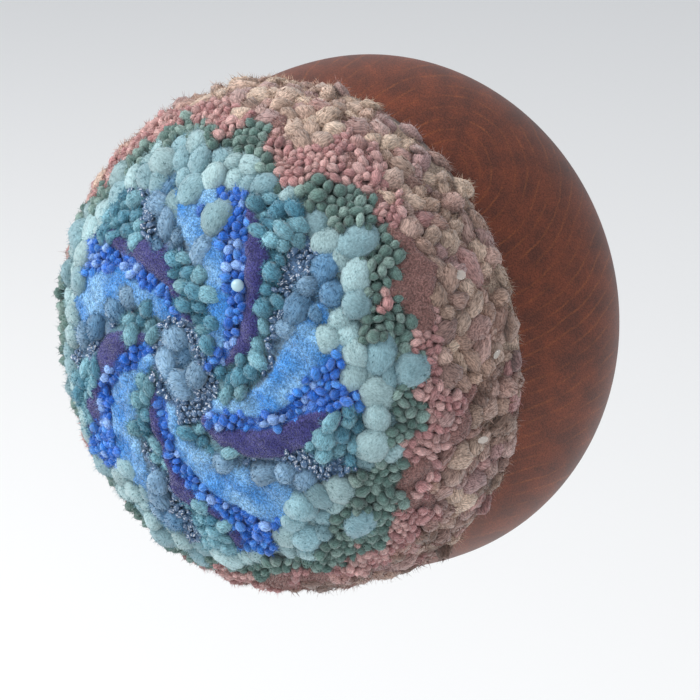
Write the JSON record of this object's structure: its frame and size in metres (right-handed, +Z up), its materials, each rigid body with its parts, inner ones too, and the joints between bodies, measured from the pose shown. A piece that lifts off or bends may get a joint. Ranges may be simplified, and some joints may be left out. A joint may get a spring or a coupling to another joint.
{
  "type": "domed tufted wool wall hanging in a turned wooden bowl",
  "caption": "Round turned wooden bowl that lies with its foot on a wall, its mouth filled by a dome of looped, sheared and fluffy wool pile in rings of colour.",
  "frame": {"origin": "centre of the flat foot at the bowl's back, on the wall plane", "axes": "+Y into the wall along the bowl's axis, -Y towards the viewer, +Z up, +X to the viewer's right"},
  "size_m": [0.152, 0.145, 0.152],
  "materials": {
    "turned_wood": "satin oiled red-brown hardwood with fine pores and thin growth rings",
    "wool_pile": "matt wool pile: loops, sheared velvet-like patches, felted tufts and long fluffy tufts in taupe, rose, green, aqua and blues"
  },
  "bodies": {
    "root": {"bowl": "turned_wood", "tufted_dome": "wool_pile"}
  },
  "joints": []
}
